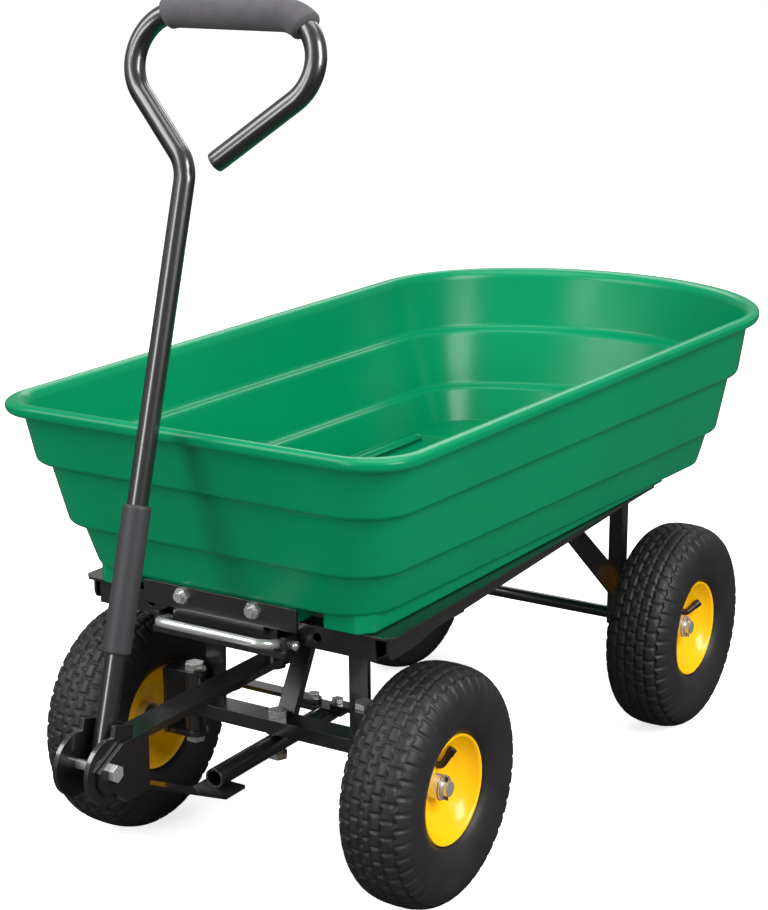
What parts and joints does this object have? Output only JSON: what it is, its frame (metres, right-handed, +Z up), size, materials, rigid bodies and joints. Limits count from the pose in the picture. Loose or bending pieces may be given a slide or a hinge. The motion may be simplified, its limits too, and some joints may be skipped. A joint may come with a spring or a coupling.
{
  "type": "tipping dump cart",
  "caption": "Garden dump cart: a plastic tub with a round rear end tips on a black steel chassis with a steered front axle, air tyres on dished rims, a tub latch and a loop pull handle.",
  "frame": {"origin": "on the ground, under the middle of the overall length and width", "axes": "+Z up, +Y to the rear, where the tub tips, -Y to the pull handle; +X is on the right of someone who faces the handle end, and left and right in the names follow that"},
  "size_m": [0.526, 1.221, 0.939],
  "materials": {
    "green_plastic": "smooth glossy moulded plastic",
    "black_paint": "gloss black powder coat",
    "tyre_rubber": "satin black rubber",
    "yellow_paint": "gloss yellow paint",
    "zinc": "bright zinc plate",
    "valve_rubber": "black rubber",
    "foam": "matt closed-cell foam",
    "sleeve_plastic": "matt dark grey plastic"
  },
  "bodies": {
    "chassis": {"rail_left": "black_paint", "rail_right": "black_paint", "front_beam": "black_paint", "bolster": "black_paint", "mid_beam": "black_paint", "rear_beam": "black_paint", "leg_left": "black_paint", "leg_right": "black_paint", "centre_brace": "black_paint", "axle_beam": "black_paint", "post_left": "black_paint", "post_right": "black_paint", "diagonal_left": "black_paint", "diagonal_right": "black_paint", "rear_axle": "black_paint", "axle_washers": "zinc", "hinge_pin": "zinc", "latch_bracket": "black_paint", "steering_pin": "black_paint", "pivot_bolt": "zinc", "kingpins": "zinc"},
    "tub": {"tub": "green_plastic", "latch_plate": "black_paint", "latch_bolts": "zinc", "hinge_brackets": "black_paint"},
    "latch": {"release_handle": "zinc", "latch_catch": "black_paint"},
    "tongue": {"tongue_tube": "black_paint", "tongue_bar": "black_paint", "clevis": "black_paint", "tongue_pins": "zinc", "handle_bolt": "zinc"},
    "handle": {"handle_tube": "black_paint", "handle_bracket": "black_paint", "grip": "foam", "sleeve": "sleeve_plastic"},
    "knuckle_left": {"knuckle_left": "black_paint", "arm_pin_left": "zinc"},
    "knuckle_right": {"knuckle_right": "black_paint", "arm_pin_right": "zinc"},
    "tie_rod_left": {"tie_rod_left": "black_paint"},
    "tie_rod_right": {"tie_rod_right": "black_paint"},
    "wheel_front_left": {"tyre_front_left": "tyre_rubber", "rim_front_left": "yellow_paint", "hub_front_left": "zinc", "valve_front_left": "valve_rubber"},
    "wheel_front_right": {"tyre_front_right": "tyre_rubber", "rim_front_right": "yellow_paint", "hub_front_right": "zinc", "valve_front_right": "valve_rubber"},
    "wheel_rear_left": {"tyre_rear_left": "tyre_rubber", "rim_rear_left": "yellow_paint", "hub_rear_left": "zinc", "valve_rear_left": "valve_rubber"},
    "wheel_rear_right": {"tyre_rear_right": "tyre_rubber", "rim_rear_right": "yellow_paint", "hub_rear_right": "zinc", "valve_rear_right": "valve_rubber"}
  },
  "joints": [
    {"name": "tub_tip", "type": "hinge", "parent": "chassis", "child": "tub", "pos_m": [0, 0.3575, 0.303], "axis": [-1, 0, 0], "range_deg": [0, 65]},
    {"name": "latch_release", "type": "hinge", "parent": "chassis", "child": "latch", "pos_m": [0, -0.3555, 0.292], "axis": [-1, 0, 0], "range_deg": [0, 20], "stiffness_Nm_per_rad": 0.6, "springref_deg": -5.73},
    {"name": "steer", "type": "hinge", "parent": "chassis", "child": "tongue", "pos_m": [0, -0.2645, 0.18], "axis": [0, 0, 1], "range_deg": [-30, 30]},
    {"name": "knuckle_left_turn", "type": "hinge", "parent": "chassis", "child": "knuckle_left", "pos_m": [-0.112, -0.2645, 0.16], "axis": [0, 0, 1], "range_deg": [-30, 30]},
    {"name": "knuckle_right_turn", "type": "hinge", "parent": "chassis", "child": "knuckle_right", "pos_m": [0.112, -0.2645, 0.16], "axis": [0, 0, 1], "range_deg": [-30, 30]},
    {"name": "tie_rod_left_turn", "type": "hinge", "parent": "tongue", "child": "tie_rod_left", "pos_m": [-0.016, -0.1695, 0.15], "axis": [0, 0, 1], "range_deg": [-30, 30]},
    {"name": "tie_rod_right_turn", "type": "hinge", "parent": "tongue", "child": "tie_rod_right", "pos_m": [0.016, -0.1695, 0.15], "axis": [0, 0, 1], "range_deg": [-30, 30]},
    {"name": "handle_pitch", "type": "hinge", "parent": "tongue", "child": "handle", "pos_m": [0, -0.5785, 0.221], "axis": [1, 0, 0], "range_deg": [0, 110]},
    {"name": "wheel_front_left_spin", "type": "hinge", "parent": "knuckle_left", "child": "wheel_front_left", "pos_m": [-0.192, -0.2645, 0.13], "axis": [1, 0, 0], "continuous": true},
    {"name": "wheel_front_right_spin", "type": "hinge", "parent": "knuckle_right", "child": "wheel_front_right", "pos_m": [0.192, -0.2645, 0.13], "axis": [1, 0, 0], "continuous": true},
    {"name": "wheel_rear_left_spin", "type": "hinge", "parent": "chassis", "child": "wheel_rear_left", "pos_m": [-0.202, 0.3295, 0.13], "axis": [1, 0, 0], "continuous": true},
    {"name": "wheel_rear_right_spin", "type": "hinge", "parent": "chassis", "child": "wheel_rear_right", "pos_m": [0.202, 0.3295, 0.13], "axis": [1, 0, 0], "continuous": true}
  ],
  "couplings": [
    {"joint": "knuckle_left_turn", "follows": "steer", "ratio": 1},
    {"joint": "knuckle_right_turn", "follows": "steer", "ratio": 1},
    {"joint": "tie_rod_left_turn", "follows": "steer", "ratio": -1},
    {"joint": "tie_rod_right_turn", "follows": "steer", "ratio": -1}
  ]
}
